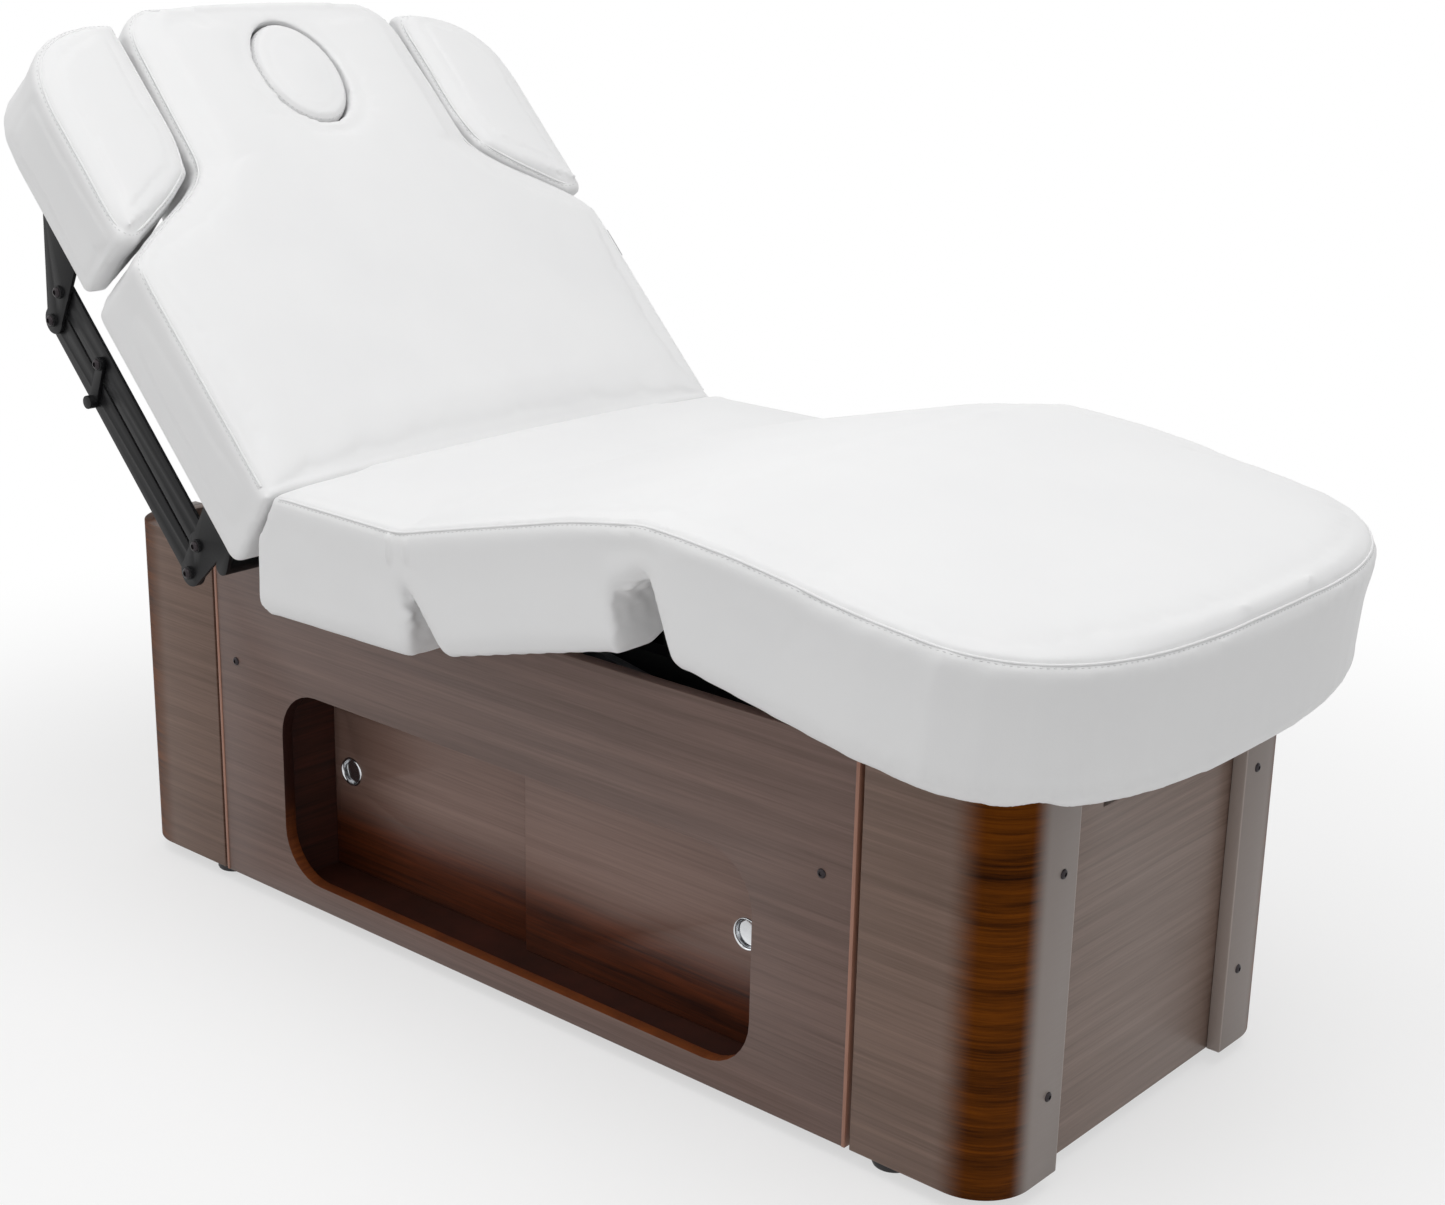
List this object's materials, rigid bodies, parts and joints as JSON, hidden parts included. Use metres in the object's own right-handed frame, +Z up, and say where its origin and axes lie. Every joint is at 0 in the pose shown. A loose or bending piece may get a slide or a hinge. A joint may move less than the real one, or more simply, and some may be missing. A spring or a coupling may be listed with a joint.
{
  "type": "electric treatment table",
  "caption": "Padded treatment table on a wooden cabinet base with sliding doors, with a powered lift, a raised backrest and knee section, a face plug and drop-down arm wings.",
  "frame": {"origin": "on the floor, under the middle of the whole table", "axes": "+X towards the foot end, +Y away from the side with the sliding doors, +Z up"},
  "size_m": [1.7732, 0.838, 1.1954],
  "materials": {
    "leatherette": "satin",
    "veneer": "satin",
    "inner_veneer": "satin",
    "plywood": "matte",
    "black_steel": "matte",
    "grey_steel": "satin",
    "chrome": "polished",
    "black_plastic": "matte"
  },
  "bodies": {
    "base": {"side_panel_near": "veneer", "side_panel_far": "veneer", "end_panel_head": "veneer", "end_panel_foot": "veneer", "corner_post_head_near": "veneer", "corner_post_head_far": "veneer", "corner_post_foot_near": "veneer", "corner_post_foot_far": "veneer", "levelling_foot_head_near": "black_plastic", "levelling_foot_head_far": "black_plastic", "levelling_foot_foot_near": "black_plastic", "levelling_foot_foot_far": "black_plastic", "storage_box": "inner_veneer", "control_box": "black_plastic", "mains_inlet": "black_plastic", "frame_portal_head": "grey_steel", "frame_portal_foot": "grey_steel", "frame_rail_near": "grey_steel", "frame_rail_far": "grey_steel"},
    "door_head": {"sliding_door_head": "inner_veneer", "door_pull_head": "chrome"},
    "door_foot": {"sliding_door_foot": "inner_veneer", "door_pull_foot": "chrome"},
    "arm_head": {"lift_arm_head": "grey_steel"},
    "arm_foot": {"lift_arm_foot": "grey_steel"},
    "lift_drive": {"lift_actuator": "black_plastic"},
    "lift_rod": {"lift_actuator_rod": "chrome"},
    "carriage": {"carriage": "black_steel", "seat_board": "plywood", "seat_cushion": "leatherette"},
    "back": {"back_frame": "black_steel", "back_board": "plywood", "back_cushion": "leatherette", "link_bracket_near": "black_steel", "link_bracket_far": "black_steel"},
    "plug": {"face_plug": "leatherette"},
    "back_drive": {"back_actuator": "black_plastic"},
    "back_rod": {"back_actuator_rod": "chrome"},
    "thigh": {"thigh_frame": "black_steel", "thigh_board": "plywood", "thigh_cushion": "leatherette"},
    "leg": {"leg_frame": "black_steel", "leg_board": "plywood", "leg_cushion": "leatherette"},
    "leg_links": {"leg_link_near": "black_steel", "leg_link_far": "black_steel"},
    "thigh_drive": {"thigh_actuator": "black_plastic"},
    "thigh_rod": {"thigh_actuator_rod": "chrome"},
    "wing_inner_link_near": {"link_inner_near": "black_steel"},
    "wing_inner_link_far": {"link_inner_far": "black_steel"},
    "wing_outer_link_near": {"link_outer_near": "black_steel"},
    "wing_outer_link_far": {"link_outer_far": "black_steel"},
    "lever_near": {"lock_lever_near": "black_steel"},
    "lever_far": {"lock_lever_far": "black_steel"},
    "wing_near": {"wing_plate_near": "black_steel", "wing_board_near": "plywood", "wing_cushion_near": "leatherette"},
    "wing_far": {"wing_plate_far": "black_steel", "wing_board_far": "plywood", "wing_cushion_far": "leatherette"}
  },
  "joints": [
    {"name": "lift", "type": "hinge", "parent": "base", "child": "arm_head", "pos_m": [-0.01053, 0, 0.39], "axis": [0, 1, 0], "range_deg": [0, 40]},
    {"name": "arm_foot_turn", "type": "hinge", "parent": "base", "child": "arm_foot", "pos_m": [0.56947, 0, 0.39], "axis": [0, 1, 0], "range_deg": [0, 40]},
    {"name": "carriage_level", "type": "hinge", "parent": "arm_head", "child": "carriage", "pos_m": [-0.46354, 0, 0.46988], "axis": [0, 1, 0], "range_deg": [-40, 0]},
    {"name": "lift_drive_tilt", "type": "hinge", "parent": "base", "child": "lift_drive", "pos_m": [-0.41053, 0, 0.09], "axis": [0, 1, 0], "range_deg": [-0.2, 0]},
    {"name": "lift_rod_slide", "type": "slide", "parent": "lift_drive", "child": "lift_rod", "axis": [0.6874, 0, 0.7263], "range_m": [0, 0.0605]},
    {"name": "back_tilt", "type": "hinge", "parent": "carriage", "child": "back", "pos_m": [-0.32853, 0, 0.522], "axis": [0, 1, 0], "range_deg": [-46.9, 3.1]},
    {"name": "back_drive_tilt", "type": "hinge", "parent": "carriage", "child": "back_drive", "pos_m": [-0.04983, 0, 0.4482], "axis": [0, 1, 0], "range_deg": [-5.4, 0.4]},
    {"name": "back_rod_slide", "type": "slide", "parent": "back_drive", "child": "back_rod", "axis": [-0.9979, 0, 0.0641], "range_m": [-0.0556, 0.0037]},
    {"name": "plug_pull", "type": "slide", "parent": "back", "child": "plug", "axis": [0.7302, 0, 0.6833], "range_m": [0, 0.2]},
    {"name": "thigh_tilt", "type": "hinge", "parent": "carriage", "child": "thigh", "pos_m": [-0.03253, 0, 0.573], "axis": [0, -1, 0], "range_deg": [-13.7, 6.3]},
    {"name": "knee_bend", "type": "hinge", "parent": "thigh", "child": "leg", "pos_m": [0.34832, 0, 0.66584], "axis": [0, -1, 0], "range_deg": [-10.2, 22]},
    {"name": "leg_link_turn", "type": "hinge", "parent": "carriage", "child": "leg_links", "pos_m": [0.44027, 0, 0.458], "axis": [0, -1, 0], "range_deg": [-26.3, 12.1]},
    {"name": "thigh_drive_tilt", "type": "hinge", "parent": "carriage", "child": "thigh_drive", "pos_m": [-0.23103, 0, 0.415], "axis": [0, -1, 0], "range_deg": [-4.5, 2.1]},
    {"name": "thigh_rod_slide", "type": "slide", "parent": "thigh_drive", "child": "thigh_rod", "axis": [0.9988, 0, 0.0488], "range_m": [-0.0382, 0.0176]},
    {"name": "wing_drop_near", "type": "hinge", "parent": "back", "child": "wing_inner_link_near", "pos_m": [-0.44965, -0.3855, 0.53288], "axis": [0, -1, 0], "range_deg": [0, 30]},
    {"name": "wing_outer_turn_near", "type": "hinge", "parent": "back", "child": "wing_outer_link_near", "pos_m": [-0.46938, -0.3855, 0.4925], "axis": [0, -1, 0], "range_deg": [0, 30]},
    {"name": "wing_level_near", "type": "hinge", "parent": "wing_inner_link_near", "child": "wing_near", "pos_m": [-0.72569, -0.3855, 0.82787], "axis": [0, -1, 0], "range_deg": [-30, 0]},
    {"name": "wing_lock_near", "type": "hinge", "parent": "wing_inner_link_near", "child": "lever_near", "pos_m": [-0.64575, -0.3905, 0.74244], "axis": [0, 1, 0], "range_deg": [0, 40]},
    {"name": "wing_drop_far", "type": "hinge", "parent": "back", "child": "wing_inner_link_far", "pos_m": [-0.44965, 0.3855, 0.53288], "axis": [0, -1, 0], "range_deg": [0, 30]},
    {"name": "wing_outer_turn_far", "type": "hinge", "parent": "back", "child": "wing_outer_link_far", "pos_m": [-0.46938, 0.3855, 0.4925], "axis": [0, -1, 0], "range_deg": [0, 30]},
    {"name": "wing_level_far", "type": "hinge", "parent": "wing_inner_link_far", "child": "wing_far", "pos_m": [-0.72569, 0.3855, 0.82787], "axis": [0, -1, 0], "range_deg": [-30, 0]},
    {"name": "wing_lock_far", "type": "hinge", "parent": "wing_inner_link_far", "child": "lever_far", "pos_m": [-0.64575, 0.3905, 0.74244], "axis": [0, 1, 0], "range_deg": [0, 40]},
    {"name": "door_head_slide", "type": "slide", "parent": "base", "child": "door_head", "axis": [1, 0, 0], "range_m": [0, 0.37]},
    {"name": "door_foot_slide", "type": "slide", "parent": "base", "child": "door_foot", "axis": [-1, 0, 0], "range_m": [0, 0.37]}
  ],
  "couplings": [
    {"joint": "arm_foot_turn", "follows": "lift", "ratio": 1},
    {"joint": "carriage_level", "follows": "lift", "ratio": -1},
    {"joint": "lift_drive_tilt", "follows": "lift", "ratio": -0.0031},
    {"joint": "lift_rod_slide", "follows": "lift", "m_per_rad": 0.08654},
    {"joint": "back_drive_tilt", "follows": "back_tilt", "ratio": 0.115},
    {"joint": "back_rod_slide", "follows": "back_tilt", "m_per_rad": 0.06781},
    {"joint": "knee_bend", "follows": "thigh_tilt", "ratio": -1.6058},
    {"joint": "leg_link_turn", "follows": "thigh_tilt", "ratio": 1.915},
    {"joint": "thigh_drive_tilt", "follows": "thigh_tilt", "ratio": 0.3281},
    {"joint": "thigh_rod_slide", "follows": "thigh_tilt", "m_per_rad": 0.15941},
    {"joint": "wing_outer_turn_near", "follows": "wing_drop_near", "ratio": 1},
    {"joint": "wing_level_near", "follows": "wing_drop_near", "ratio": -1},
    {"joint": "wing_outer_turn_far", "follows": "wing_drop_far", "ratio": 1},
    {"joint": "wing_level_far", "follows": "wing_drop_far", "ratio": -1}
  ]
}
